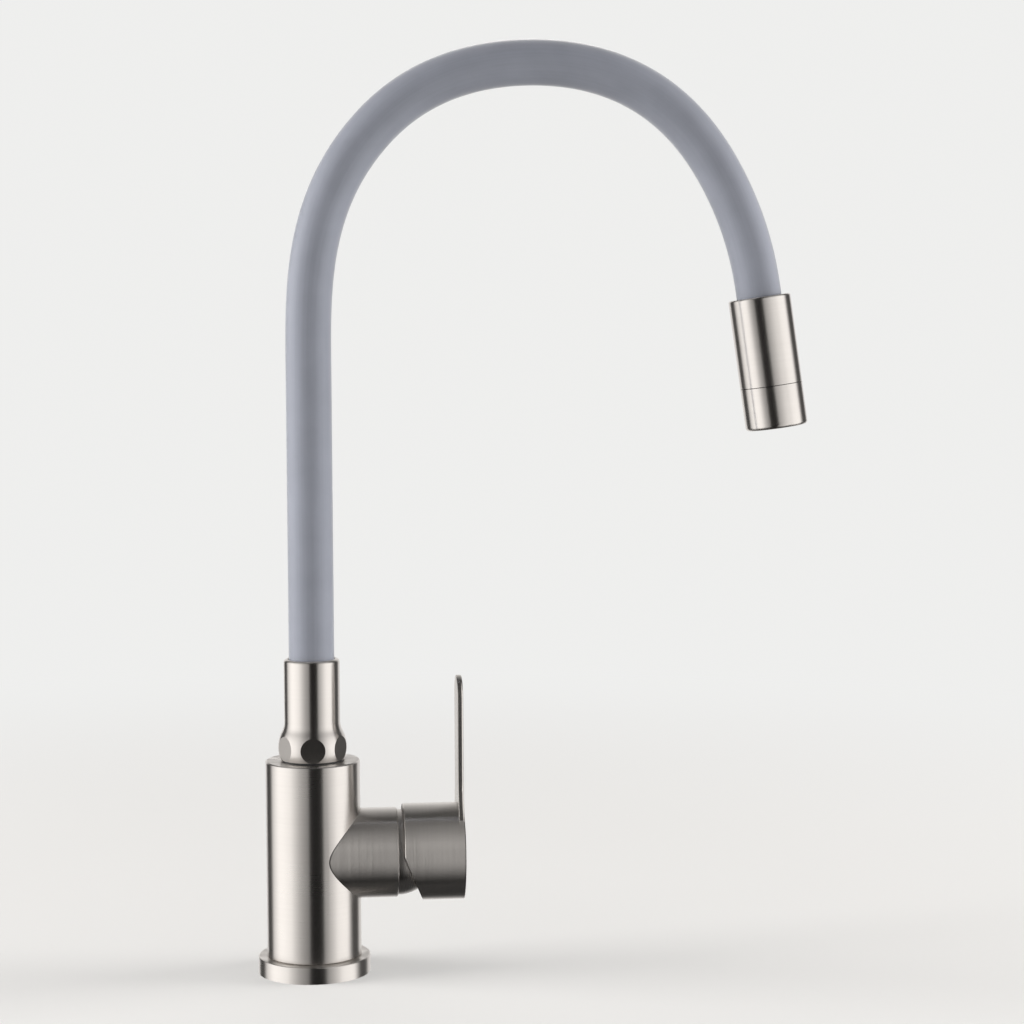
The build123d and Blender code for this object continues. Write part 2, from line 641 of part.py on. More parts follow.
# Collar
def make_spout_collar():
    bulge_r = COLLAR_R + COLLAR_BULGE
    bulge_z = COLLAR_FOOT_Z + COLLAR_BULGE_RISE
    foot_r = sqrt(bulge_r ** 2 - COLLAR_BULGE_RISE ** 2)
    reach = bulge_r + COLLAR_FILLET
    fillet_r = COLLAR_R + COLLAR_FILLET
    rise = sqrt(reach ** 2 - fillet_r ** 2)
    lean = degrees(asin(rise / reach))
    foot_angle = -degrees(asin(COLLAR_BULGE_RISE / bulge_r))
    rim_z = COLLAR_TOP_Z - COLLAR_RIM
    outline = Line((SPIGOT_R + FIT, COLLAR_FOOT_Z), (foot_r, COLLAR_FOOT_Z))
    outline += arc_about((0, bulge_z), bulge_r, foot_angle, lean)
    outline += arc_about((fillet_r, bulge_z + rise), COLLAR_FILLET, HALF_TURN, HALF_TURN + lean)
    outline += Line((COLLAR_R, bulge_z + rise), (COLLAR_R, rim_z))
    outline += arc_about((COLLAR_R - COLLAR_RIM, rim_z), COLLAR_RIM, 0, QUARTER_TURN)
    outline += Polyline(
        (COLLAR_R - COLLAR_RIM, COLLAR_TOP_Z),
        (COLLAR_BORE_R, COLLAR_TOP_Z),
        (COLLAR_BORE_R, COLLAR_SHELF_Z),
        (SPIGOT_R + FIT, COLLAR_SHELF_Z),
        (SPIGOT_R + FIT, COLLAR_FOOT_Z),
    )
    collar = turned(outline)
    flat = Pos(0, -bulge_r + FLAT_DEPTH, bulge_z) * Box(
        2 * bulge_r, bulge_r, 2 * bulge_r, align=(Align.CENTER, Align.MAX, Align.CENTER)
    )
    for index in range(COLLAR_FLATS):
        collar -= Rot(0, 0, index * FULL_TURN / COLLAR_FLATS) * flat
    return collar


# Hose
def station(place):
    """Plane across the hose at a place (x, z, heading in degrees), facing along the hose."""
    x, z, heading = place
    along = (cos(radians(heading)), 0, sin(radians(heading)))
    return Plane(origin=(x, 0, z), x_dir=(0, 1, 0), z_dir=along)


def step(place, stretch):
    """The place at the end of one stretch of the hose."""
    x, z, heading = place
    kind, size, turn = stretch
    start = radians(heading)
    end = radians(heading - turn)
    if kind == STRAIGHT:
        return x + size * cos(start), z + size * sin(start), heading
    return x + size * (sin(start) - sin(end)), z + size * (cos(end) - cos(start)), heading - turn


def walk(place, stretches):
    for stretch in stretches:
        place = step(place, stretch)
    return place


def straight(length):
    return (STRAIGHT, length, 0)


def bends(pairs):
    return [(BEND, radius, turn) for radius, turn in pairs]


SHOULDER_BENDS = (
    (EASE_BEND_R, EASE_BEND),
    (SHOULDER_BEND_R, SHOULDER_BEND),
    (TOP_BEND_R, TOP_BEND),
    (CROWN_BEND_R, QUARTER_TURN - EASE_BEND - SHOULDER_BEND - TOP_BEND),
)
FALL_BENDS = ((FALL_BEND_R, FALL_BEND), (DROP_BEND_R, DROP_BEND))
TIP_BENDS = ((TIP_BEND_R, TIP_BEND),)
RISER_END = (0, RISER_TOP_Z, QUARTER_TURN)
CROWN = walk(RISER_END, [straight(FLEX_RUN)] + bends(SHOULDER_BENDS))
FALL_END = walk(CROWN, [straight(FLEX_RUN)] + bends(FALL_BENDS))
HEAD_PLACE = walk(FALL_END, [straight(FLEX_RUN)] + bends(TIP_BENDS) + [straight(TIP_RUN)])
HEAD = station(HEAD_PLACE)


def hose_run(place, stretches, outer, inner):
    """One layer of the hose along straight runs and bends."""
    run = None
    for kind, size, turn in stretches:
        plane = station(place)
        section = plane * (Circle(outer) - Circle(inner))
        if kind == STRAIGHT:
            piece = extrude(section, size)
        else:
            piece = revolve(section, Axis(plane.origin - plane.y_dir * size, (0, 1, 0)), turn)
        run = piece if run is None else run + piece
        place = step(place, (kind, size, turn))
    return run


def ball_height(ball, radius):
    return sqrt(ball ** 2 - radius ** 2)


def ball_arc(ball, outer, inner):
    """Arc of the flexing ball between two radii."""
    outer_angle = degrees(asin(ball_height(ball, outer) / ball))
    inner_angle = degrees(asin(ball_height(ball, inner) / ball))
    return arc_about((0, 0), ball, outer_angle, inner_angle)


def ball_end(outer, inner):
    """Round end of a hose layer at a flexing point."""
    outline = ball_arc(HOSE_R, outer, inner)
    outline += Line((inner, ball_height(HOSE_R, inner)), (inner, 0))
    outline += Line((inner, 0), (outer, 0))
    if outer < HOSE_R:
        outline += Line((outer, 0), (outer, ball_height(HOSE_R, outer)))
    return turned(outline)


def socket_end(outer, inner):
    """Hollow end of the next hose layer, clear of the ball at every bend."""
    ball = HOSE_R + LOOSE
    lip = HOSE_R * tan(radians(FLEX_MAX)) + LOOSE
    lip_r = min(outer, ball_height(ball, lip))
    lip_z = ball_height(ball, lip_r)
    outline = ball_arc(ball, lip_r, inner)
    outline += Polyline((inner, ball_height(ball, inner)), (inner, FLEX_RUN), (outer, FLEX_RUN), (outer, lip_z))
    if lip_r < outer:
        outline += Line((outer, lip_z), (lip_r, lip_z))
    return turned(outline)


def riser_layer(outer, inner, foot):
    layer = hose_run((0, foot, QUARTER_TURN), [straight(RISER_TOP_Z - foot)], outer, inner)
    return layer + station(RISER_END) * ball_end(outer, inner)


def middle_layer(outer, inner, start, end, pairs):
    first = walk(start, [straight(FLEX_RUN)])
    layer = hose_run(first, bends(pairs), outer, inner)
    return layer + station(start) * socket_end(outer, inner) + station(end) * ball_end(outer, inner)


def tip_layer(outer, inner, end):
    first = walk(FALL_END, [straight(FLEX_RUN)])
    layer = hose_run(first, bends(TIP_BENDS) + [straight(TIP_RUN + end)], outer, inner)
    return layer + station(FALL_END) * socket_end(outer, inner)


def make_lower_crimp_ring():
    return pipe(WATER_R + FIT + CRIMP_WALL, WATER_R + FIT, CRIMP_FOOT_Z, CRIMP_FOOT_Z + CRIMP_LENGTH)


def make_upper_crimp_ring():
    return HEAD * pipe(WATER_R + FIT + CRIMP_WALL, WATER_R + FIT, CRIMP_TOP, CRIMP_TOP + CRIMP_LENGTH)


# Spray head
def make_head_shell():
    shell = rod(HEAD_R, 0, HEAD_SHELL_LENGTH)
    shell = fillet(rim_edges(shell, Axis.Z, 0, HEAD_R), HEAD_EDGE)
    shell -= rod(HEAD_BORE_R, HEAD_TOP, HEAD_SHELL_LENGTH)
    return HEAD * (shell - rod(HOSE_R + HOSE_PLAY, 0, HEAD_TOP))


def make_hose_fitting():
    fitting = rod(FITTING_D / 2, FITTING_TOP, FITTING_END)
    fitting += rod(NIPPLE_R, HOSE_INSERT - NIPPLE_LENGTH, FITTING_TOP)
    return HEAD * (fitting - rod(NIPPLE_BORE_R, HOSE_INSERT - NIPPLE_LENGTH, FITTING_END))


def make_head_core():
    core = rod(HEAD_BORE_R - FIT, HEAD_CORE_TOP, HEAD_SHELL_LENGTH)
    core += rod(TURN_D / 2, HEAD_SHELL_LENGTH, TURN_END)
    core -= rod(FITTING_D / 2 + FIT, HEAD_CORE_TOP, FITTING_END + FIT)
    core -= rod(NIPPLE_R, FITTING_END, TURN_END)
    core -= rod(TURN_D / 2 - HEAD_WALL - O_RING_D, HEAD_SHELL_LENGTH - HEAD_CORE_FLOOR, TURN_END)
    middle = head_seal_height()
    half = O_RING_D / 2 + FIT
    core -= pipe(TURN_D, TURN_D / 2 - O_RING_D + FIT, middle - half, middle + half)
    low = OUTLET_SNAP - FIT
    return HEAD * (core - pipe(TURN_D, TURN_D / 2 - SNAP_RING_BITE, low, low + SNAP_RING_H + 2 * FIT))


def head_seal_height():
    return (RING_TOP + HUB_END) / 2


def make_head_o_ring():
    ring = cord_ring(TURN_D / 2 - O_RING_D / 2 + 2 * FIT, O_RING_D - 2 * FIT)
    return HEAD * Pos(0, 0, head_seal_height()) * ring


def make_outlet_snap_ring():
    inner = TURN_D / 2 - SNAP_RING_BITE + FIT
    outer = TURN_D / 2 + SNAP_RING_BITE
    return HEAD * split_ring(outer, inner, OUTLET_SNAP, OUTLET_SNAP + SNAP_RING_H, TURN_D / 4)


def make_outlet_ring():
    ring = rod(HEAD_R, RING_TOP, HEAD_LENGTH)
    ring = fillet(rim_edges(ring, Axis.Z, HEAD_LENGTH, HEAD_R), RING_EDGE)
    ring -= rod(RING_BORE_R, RING_TOP + RING_WEB, HEAD_LENGTH)
    ring += rod(TURN_D / 2 + RUN + RING_WALL, RING_TOP, HUB_END)
    return HEAD * (ring - rod(TURN_D / 2 + RUN, RING_TOP, HUB_END))


def make_selector_disc():
    disc = rod(RING_BORE_R - FIT, SELECTOR_TOP, FACE_TOP)
    disc -= rod(AERATOR_D / 2 - SELECTOR_H, SELECTOR_TOP, FACE_TOP)
    for index in range(SELECTOR_HOLES):
        disc -= Rot(0, 0, index * FULL_TURN / SELECTOR_HOLES) * Pos(nozzle_circle(), 0, 0) * rod(
            NOZZLE_D / 2, SELECTOR_TOP, FACE_TOP
        )
    return HEAD * disc


def nozzle_circle():
    """Circle of the nozzles, midway between aerator and ring."""
    return (AERATOR_D / 2 + RING_BORE_R) / 2


def make_spray_face():
    face = rod(RING_BORE_R - FIT, FACE_TOP, FACE_END) - rod(AERATOR_D / 2 + FIT, FACE_TOP, FACE_END)
    for index in range(NOZZLES):
        face -= Rot(0, 0, index * FULL_TURN / NOZZLES) * Pos(nozzle_circle(), 0, 0) * rod(
            NOZZLE_D / 2 + FIT, FACE_TOP, FACE_END
        )
    return HEAD * face


def make_spray_nozzles():
    nozzle = pipe(NOZZLE_D / 2, NOZZLE_HOLE_D / 2, FACE_TOP, FACE_END + NOZZLE_REACH)
    places = [Rot(0, 0, index * FULL_TURN / NOZZLES) * Pos(nozzle_circle(), 0, 0) for index in range(NOZZLES)]
    return Compound([HEAD * place * nozzle for place in places])


def make_aerator():
    insert = rod(AERATOR_D / 2, FACE_TOP, FACE_END)
    hole = rod(AERATOR_HOLE_D / 2, FACE_TOP, FACE_END)
    insert -= hole
    pitch = AERATOR_D / 2 / (AERATOR_RINGS + 0.5)
    for ring in range(1, AERATOR_RINGS + 1):
        for index in range(6 * ring):
            insert -= Rot(0, 0, index * 60 / ring) * Pos(pitch * ring, 0, 0) * hole
    return HEAD * insert


def hose_nodes():
    layers = {
        "hose_sleeve": (HOSE_R, SLEEVE_BORE_R, HOSE_FOOT_Z, HOSE_INSERT),
        "gooseneck_core": (CORE_R, CORE_BORE_R, CORE_FOOT_Z, CRIMP_TOP - LAYER_GAP),
        "water_tube": (WATER_R, WATER_BORE_R, HOSE_FOOT_Z, HOSE_INSERT),
    }
    nodes = {}
    for name, (outer, inner, foot, end) in layers.items():
        nodes[name + "_riser"] = riser_layer(outer, inner, foot)
        nodes[name + "_shoulder"] = middle_layer(outer, inner, RISER_END, CROWN, SHOULDER_BENDS)
        nodes[name + "_fall"] = middle_layer(outer, inner, CROWN, FALL_END, FALL_BENDS)
        nodes[name + "_tip"] = tip_layer(outer, inner, end)
    return nodes


NODES = {
    "base_flange": make_base_flange(),
    "base_gasket": make_base_gasket(),
    "body_shell": make_body_shell(),
    "inlet_block": make_inlet_block(),
    "hot_inlet_tube": make_inlet_tube(-PORT_SIDE),
    "cold_inlet_tube": make_inlet_tube(PORT_SIDE),
    "valve_seat": make_valve_seat(),
    "mixed_water_tube": make_mixed_water_tube(),
    "cartridge_base": make_cartridge_base(),
    "cartridge_seat_seals": make_seat_seals(),
    "cartridge_disc_seals": make_disc_seals(),
    "fixed_ceramic_disc": make_fixed_ceramic_disc(),
    "cartridge_housing": make_cartridge_housing(),
    "retaining_nut": make_retaining_nut(),
    "dome_cover": make_dome_cover(),
    "cartridge_rotor": make_cartridge_rotor(),
    "spindle_pin": make_spindle_pin(),
    "cartridge_spindle": make_cartridge_spindle(),
    "disc_carrier": make_disc_carrier(),
    "moving_ceramic_disc": make_moving_ceramic_disc(),
    "lever_handle": make_lever_handle(),
    "handle_grub_screw": make_handle_grub_screw(),
    "grub_screw_plug": make_grub_screw_plug(),
    "spigot_socket": make_spigot_socket(),
    "swivel_spigot": make_swivel_spigot(),
    "spigot_o_rings": make_spigot_o_rings(),
    "swivel_snap_ring": make_swivel_snap_ring(),
    "swivel_slip_ring": make_swivel_slip_ring(),
    "spout_collar": make_spout_collar(),
    "lower_crimp_ring": make_lower_crimp_ring(),
    "upper_crimp_ring": make_upper_crimp_ring(),
    "head_shell": make_head_shell(),
    "hose_fitting": make_hose_fitting(),
    "head_core": make_head_core(),
    "head_o_ring": make_head_o_ring(),
    "outlet_snap_ring": make_outlet_snap_ring(),
    "outlet_ring": make_outlet_ring(),
    "selector_disc": make_selector_disc(),
    "spray_face": make_spray_face(),
    "spray_nozzles": make_spray_nozzles(),
    "aerator": make_aerator(),
}
NODES.update(hose_nodes())

os.makedirs("parts", exist_ok=True)
for name, solid in NODES.items():
    export_step(solid, f"parts/{name}.step")
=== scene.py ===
"""Brushed steel kitchen mixer tap with a grey hose spout, dressed on its CAD frame. Metres, +Z up."""

import json
from math import cos, pi, radians, sin

import bpy
from mathutils import Matrix, Vector


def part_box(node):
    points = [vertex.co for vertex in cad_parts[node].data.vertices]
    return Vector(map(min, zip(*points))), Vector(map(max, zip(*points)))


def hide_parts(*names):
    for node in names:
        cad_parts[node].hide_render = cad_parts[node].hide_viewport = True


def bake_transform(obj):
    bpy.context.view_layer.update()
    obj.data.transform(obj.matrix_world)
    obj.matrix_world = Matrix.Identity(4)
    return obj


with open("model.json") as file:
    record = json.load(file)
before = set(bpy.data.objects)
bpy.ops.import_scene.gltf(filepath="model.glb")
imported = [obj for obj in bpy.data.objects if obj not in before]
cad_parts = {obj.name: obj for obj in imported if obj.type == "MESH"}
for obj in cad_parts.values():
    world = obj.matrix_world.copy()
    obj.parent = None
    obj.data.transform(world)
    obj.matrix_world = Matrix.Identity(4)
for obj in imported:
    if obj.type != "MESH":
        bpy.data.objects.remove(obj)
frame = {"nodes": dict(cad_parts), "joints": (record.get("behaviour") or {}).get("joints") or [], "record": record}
NODES = frame["nodes"]
JOINTS = {joint["name"]: joint for joint in frame["joints"]}
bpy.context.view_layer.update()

# Camera of the photograph: turns in degrees, lens and sensor in millimetres
CAMERA_EYE = (-0.0124, -1.0780, 0.2898)
CAMERA_DOWN = 3.71
CAMERA_RIGHT = 5.76
CAMERA_ROLL = -0.28
CAMERA_LENS = 79.7
SENSOR = 36.0
CLIP_END = 50.0

# Stage: between two distances from the object the floor passes into the background, from a first share of it
FLOOR_COLOUR = (0.72, 0.72, 0.715)
BACKGROUND = (0.86, 0.86, 0.85)
FLOOR_R = 9.0
FLOOR_SIDES = 96
FADE_FROM = 0.30
FADE_TO = 1.05
FADE_START = 0.30
PAPER_GRAIN = 300.0
PAPER_CLOUD = 5.0
PAPER_MOTTLE = 0.01
PAPER_ROUGHNESS = (0.65, 0.75)
PAPER_RELIEF = 0.2
PAPER_DEPTH = 0.00005

# Lights
LIGHT_TARGET = (0.06, 0.0, 0.24)
WARM = (1.0, 0.975, 0.95)
LIGHTS = {
    "left_softbox": {"at": (-2.3, 0.10, 0.75), "size": (1.3, 1.4), "watts": 78.0},
    "right_softbox": {"at": (2.4, 0.10, 0.75), "size": (1.3, 1.4), "watts": 72.0},
    "top_softbox": {"at": (0.05, 0.25, 2.6), "size": (2.2, 2.2), "watts": 9.0},
    "front_fill": {"at": (0.20, -1.7, 0.12), "size": (1.2, 0.5), "watts": 8.0},
}
# What polished surfaces reflect: brightness by degrees round from the camera, to the right
SURROUNDINGS = (
    (-180, 0.57), (-156, 0.57), (-150, 0.04), (-126, 0.05), (-118, 0.60), (-95, 1.0), (-80, 1.0), (-56, 0.86),
    (-30, 0.40), (-16, 0.26), (-4, 0.24), (14, 0.24), (26, 0.34), (50, 0.78), (62, 0.90), (90, 0.95),
    (97, 0.45), (106, 0.06), (134, 0.05), (141, 0.50), (180, 0.57),
)
SURROUNDINGS_STRENGTH = 1.5
# How they fade towards the floor and overhead: height of the way from -1 to 1, and the level left overhead
LOW_FADE = (-0.90, -0.32)
HIGH_FADE = (0.25, 1.0)
OVERHEAD = 0.08
DARKEST = 0.03
# Card in front, as the metal sees it: brightness by metres to the right, black round the camera
CARD = (
    (-0.741, 0.86), (-0.50, 0.66), (-0.289, 0.40), (-0.143, 0.26), (-0.099, 0.25), (-0.095, 0.012),
    (0.210, 0.012), (0.214, 0.30), (0.244, 0.34), (0.536, 0.70), (0.714, 0.80),
)
CARD_Y = -0.5
CARD_Z = (-1.5, 2.5)
CARD_SEEN_FROM = (0.0, 0.0, 0.15)

# Sizes that the materials need, from the frame, and how far from them a mask starts
VALVE_Z = JOINTS["flow_lift"]["pos_m"][2]
COLUMN_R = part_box("body_shell")[1].y
CAP_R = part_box("lever_handle")[1].y
BLADE_OUTER_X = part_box("lever_handle")[1].x
HEAD_AXIS = Vector(JOINTS["outlet_turn"]["axis"])
PAST_COLUMN = 0.0002
PAST_CAP = 0.0003
END_SKIN = 0.0004

# Values between which most of one noise lies, of a fine one, and of the sum of two
NOISE = (0.3, 0.7)
FINE_NOISE = (0.25, 0.75)
NOISE_SUM = (0.6, 1.4)

# Brushed steel: lines for each metre across them, and for each metre along them
STEEL = (0.72, 0.695, 0.67)
STEEL_MOTTLE = 0.015
FINE_LINES = 2600.0
BROAD_LINES = 900.0
LINE_LENGTH = 26.0
BROAD_LENGTH = LINE_LENGTH / 4
LINE_RELIEF = 0.015
LINE_DEPTH = 0.00003
SMUDGE_SCALE = 28.0
SMUDGE_ROUGHNESS = (-0.01, 0.03)
# Roughness, how far the brushing spreads the light, and how much the roughness differs from line to line
SATIN = (0.28, 0.85, 0.009)
WIDE_SATIN = (0.33, 0.97, 0.040)
DOME_SATIN = (0.28, 0.2, 0.02)
BLADE_SATIN = (0.24, 0.3, 0.02)
X_AXIS = (1.0, 0.0, 0.0)
Z_AXIS = (0.0, 0.0, 1.0)
ACROSS_BLADE = (1.0, 1.0, 0.0)

# Machined metal inside, by slot: name, colour and roughness
METALS = {
    "brass": ("machined_brass", (0.72, 0.55, 0.28), 0.32),
    "plain_steel": ("drawn_steel", (0.58, 0.57, 0.56), 0.3),
}
METAL_SHADES = (0.85, 1.1)
METAL_ROUGHNESS_SPREAD = 0.07
METAL_RELIEF = 0.2
METAL_DEPTH = 0.00005
# Rubber, plastic and ceramic, by slot: colour, roughness, scale and depth of the grain, and mottling
SOFT_SURFACES = {
    "seal_rubber": ((0.022, 0.022, 0.023), 0.6, 900.0, 0.0001, 0.07),
    "dark_plastic": ((0.035, 0.036, 0.038), 0.42, 1400.0, 0.00006, 0.07),
    "cartridge_plastic": ((0.62, 0.63, 0.63), 0.45, 1200.0, 0.00006, 0.07),
    "water_tube_plastic": ((0.72, 0.72, 0.70), 0.4, 700.0, 0.00008, 0.07),
    "disc_ceramic": ((0.82, 0.81, 0.78), 0.18, 2500.0, 0.00001, 0.03),
    "nozzle_silicone": ((0.12, 0.122, 0.13), 0.5, 1500.0, 0.00005, 0.07),
}
SOFT_CLOUD = 45.0
SOFT_ROUGHNESS_SPREAD = 0.06
SOFT_RELIEF = 0.25

# Hose silicone
HOSE_GREY = (0.209, 0.224, 0.266)
HOSE_SHADES = (0.93, 1.08)
HOSE_LINES = (900.0, 14.0, 0.0)
HOSE_GRAIN = 1900.0
HOSE_DUST = 70.0
DUST_SHARE = 0.6
HOSE_ROUGHNESS = (0.44, 0.56)
HOSE_SHEEN = 0.6
HOSE_SHEEN_ROUGHNESS = 0.35
HOSE_RELIEF = 0.1
HOSE_DEPTH = 0.00008

# Hose shape: places, climbs in degrees and handles of the curves fitted to its centre line
HOSE_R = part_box("hose_sleeve_riser")[1].y
HOSE_WALL = 0.0016
HOSE_SIDES = 72
HOSE_STEP = 0.0015
CURVE_ALLOWANCE = 1.1
HOSE_EDGE_ANGLE = 40
HOSE_FOOT_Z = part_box("hose_sleeve_riser")[0].z
HOSE_INSERT = 0.011
RISER_CLIMB = 90.0
SHOULDER = (0.02974, 0.0, 0.39975)
SHOULDER_CLIMB = 48.6
CROWN = (0.10463, 0.0, 0.43264)
CROWN_CLIMB = 1.6
FALL = (0.19739, 0.0, 0.38045)
FALL_CLIMB = -60.9
RISE_HANDLES = (0.03918, 0.04633)
OVER_HANDLES = (0.01505, 0.04312)
FALL_HANDLES = (0.05712, 0.02322)
TIP_HANDLES = (0.02936, 0.01109)
FALL_SPLIT = 0.60
BEND_HALF = 0.040
TIP_BEND_HALF = 0.028


# Node helpers
class Nodes:
    """Adds and links the nodes of one node tree."""

    def __init__(self, tree):
        self.tree = tree

    def add(self, kind, inputs=None, **settings):
        node = self.tree.nodes.new(kind)
        for key, value in settings.items():
            setattr(node, key, value)
        for key, value in (inputs or {}).items():
            self.feed(node.inputs[key], value)
        return node

    def feed(self, socket, value):
        if isinstance(value, bpy.types.NodeSocket):
            self.tree.links.new(value, socket)
        else:
            socket.default_value = value

    def math(self, operation, first, second=0.0):
        return self.add("ShaderNodeMath", {0: first, 1: second}, operation=operation).outputs[0]

    def vector(self, operation, *vectors):
        return self.add("ShaderNodeVectorMath", dict(enumerate(vectors)), operation=operation).outputs

    def split(self, vector):
        return self.add("ShaderNodeSeparateXYZ", {0: vector}).outputs

    def ramp(self, value, low, high, to_low, to_high, interpolation="LINEAR"):
        ends = {"Value": value, "From Min": low, "From Max": high, "To Min": to_low, "To Max": to_high}
        return self.add("ShaderNodeMapRange", ends, interpolation_type=interpolation).outputs["Result"]

    def noise(self, vector, scale, detail):
        inputs = {"Vector": vector, "Scale": scale, "Detail": detail}
        return self.add("ShaderNodeTexNoise", inputs).outputs["Fac"]

    def lines(self, vector, scales, detail):
        return self.noise(self.vector("MULTIPLY", vector, scales)[0], 1.0, detail)

    def mix(self, factor, first, second, kind="FLOAT"):
        inputs = {"Factor": factor, "A": first, "B": second}
        return self.add("ShaderNodeMix", inputs, data_type=kind).outputs["Result"]

    def tint(self, factor, dark, light):
        return self.mix(factor, (*dark, 1.0), (*light, 1.0), "RGBA")

    def graded(self, share, stops):
        """Brightness along a row of stops, each a share of the way and a level."""
        node = self.add("ShaderNodeValToRGB", {"Fac": share})
        elements = node.color_ramp.elements
        for index, (place, level) in enumerate(stops):
            stop = elements[index] if index < 2 else elements.new(place)
            stop.position = place
            stop.color = (level, level, level, 1.0)
        return node.outputs["Color"]

    def window(self, climb):
        """How much of the surroundings is left towards the floor and overhead."""
        low = self.ramp(climb, *LOW_FADE, 0.0, 1.0, "SMOOTHSTEP")
        return self.math("MULTIPLY", low, self.ramp(climb, *HIGH_FADE, 1.0, OVERHEAD))


class Surface(Nodes):
    """The nodes of a new material."""

    def __init__(self, name):
        self.material = bpy.data.materials.new(name)
        self.material.use_nodes = True
        super().__init__(self.material.node_tree)
        self.shader = self.tree.nodes["Principled BSDF"]
        self.output = self.tree.nodes["Material Output"].inputs["Surface"]
        self.coords = self.add("ShaderNodeTexCoord").outputs["Object"]

    def set(self, **values):
        for name, value in values.items():
            self.feed(self.shader.inputs[name.replace("_", " ")], value)

    def bump(self, height, strength, distance):
        inputs = {"Height": height, "Strength": strength, "Distance": distance}
        self.set(Normal=self.add("ShaderNodeBump", inputs).outputs["Normal"])

    def distance(self, first, second):
        squares = (self.math("POWER", side, 2.0) for side in (first, second))
        return self.math("SQRT", self.math("ADD", *squares))


def shade(colour, amount):
    return tuple(min(1.0, channel * amount) for channel in colour)


def shades(colour, amounts):
    return [shade(colour, amount) for amount in amounts]


def around(middle, spread):
    return middle - spread, middle + spread


# Materials
def brush_lines(graph, coords, axis):
    """Fine and broad brush lines that run round an axis, as two noises."""
    fine = tuple(FINE_LINES if across else LINE_LENGTH for across in axis)
    broad = tuple(BROAD_LINES if across else BROAD_LENGTH for across in axis)
    return graph.lines(coords, fine, 2.0), graph.lines(coords, broad, 3.0)


def brushed_steel(name, axis, finish=SATIN, turned_by=0.0, mask=None, other_axis=None, other_finish=None):
    """Satin steel brushed round an axis. Where the mask is 1 it has another axis and finish."""
    graph = Surface(name)
    coords, spread = graph.coords, axis
    if turned_by:
        inputs = {"Vector": coords, "Angle": turned_by}
        coords = graph.add("ShaderNodeVectorRotate", inputs, rotation_type="Y_AXIS").outputs[0]
        spread = tuple(-HEAD_AXIS)
    fine, broad = brush_lines(graph, coords, axis)
    if mask:
        factor = mask(graph)
        spread = graph.mix(factor, axis, other_axis, "VECTOR")
        other_fine, other_broad = brush_lines(graph, coords, other_axis)
        fine = graph.mix(factor, fine, other_fine)
        broad = graph.mix(factor, broad, other_broad)
        finish = [graph.mix(factor, *pair) for pair in zip(finish, other_finish)]
    roughness, spread_share, contrast = finish
    colour = graph.tint(graph.ramp(broad, *NOISE, 0.0, 1.0), *shades(STEEL, around(1.0, STEEL_MOTTLE)))
    lines = graph.math("MULTIPLY", graph.ramp(fine, *FINE_NOISE, -1.0, 1.0), contrast)
    smudge = graph.noise(graph.coords, SMUDGE_SCALE, 4.0)
    rough = graph.math("ADD", lines, graph.ramp(smudge, *NOISE, *SMUDGE_ROUGHNESS))
    graph.set(Base_Color=colour, Metallic=1.0, Roughness=graph.math("ADD", rough, roughness))
    turn = graph.add("ShaderNodeVectorTransform", {0: spread}, convert_from="OBJECT", convert_to="WORLD")
    graph.set(Anisotropic=spread_share, Tangent=turn.outputs[0])
    graph.bump(fine, LINE_RELIEF, LINE_DEPTH)
    return graph.material


def housing_mask(graph):
    """1 on the valve housing, outside the column."""
    x, y, _ = graph.split(graph.coords)
    return graph.math("GREATER_THAN", graph.distance(x, y), COLUMN_R + PAST_COLUMN)


def blade_mask(graph):
    """1 on the lever's blade and on the flat end of the cap."""
    x, y, z = graph.split(graph.coords)
    reach = graph.distance(y, graph.math("SUBTRACT", z, VALVE_Z))
    on_blade = graph.math("GREATER_THAN", reach, CAP_R + PAST_CAP)
    on_end = graph.math("GREATER_THAN", x, BLADE_OUTER_X - END_SKIN)
    return graph.math("MAXIMUM", on_blade, on_end)


def soft_surface(name, colour, rough, grain, depth, mottle):
    """Rubber, ceramic or moulded plastic with a fine grain and faint mottling."""
    graph = Surface(name)
    fine = graph.noise(graph.coords, grain, 3.0)
    cloud = graph.noise(graph.coords, SOFT_CLOUD, 4.0)
    tone = graph.ramp(cloud, *NOISE, 0.0, 1.0)
    graph.set(Base_Color=graph.tint(tone, *shades(colour, around(1, mottle))))
    both = graph.math("ADD", fine, cloud)
    graph.set(Roughness=graph.ramp(both, *NOISE_SUM, *around(rough, SOFT_ROUGHNESS_SPREAD)))
    graph.bump(fine, SOFT_RELIEF, depth)
    return graph.material


def machined_metal(name, colour, rough):
    """Plain machined metal with tool marks round the vertical axis."""
    graph = Surface(name)
    fine, broad = brush_lines(graph, graph.coords, Z_AXIS)
    graph.set(Base_Color=graph.tint(broad, *shades(colour, METAL_SHADES)), Metallic=1.0)
    graph.set(Roughness=graph.ramp(fine, *FINE_NOISE, *around(rough, METAL_ROUGHNESS_SPREAD)))
    graph.bump(fine, METAL_RELIEF, METAL_DEPTH)
    return graph.material


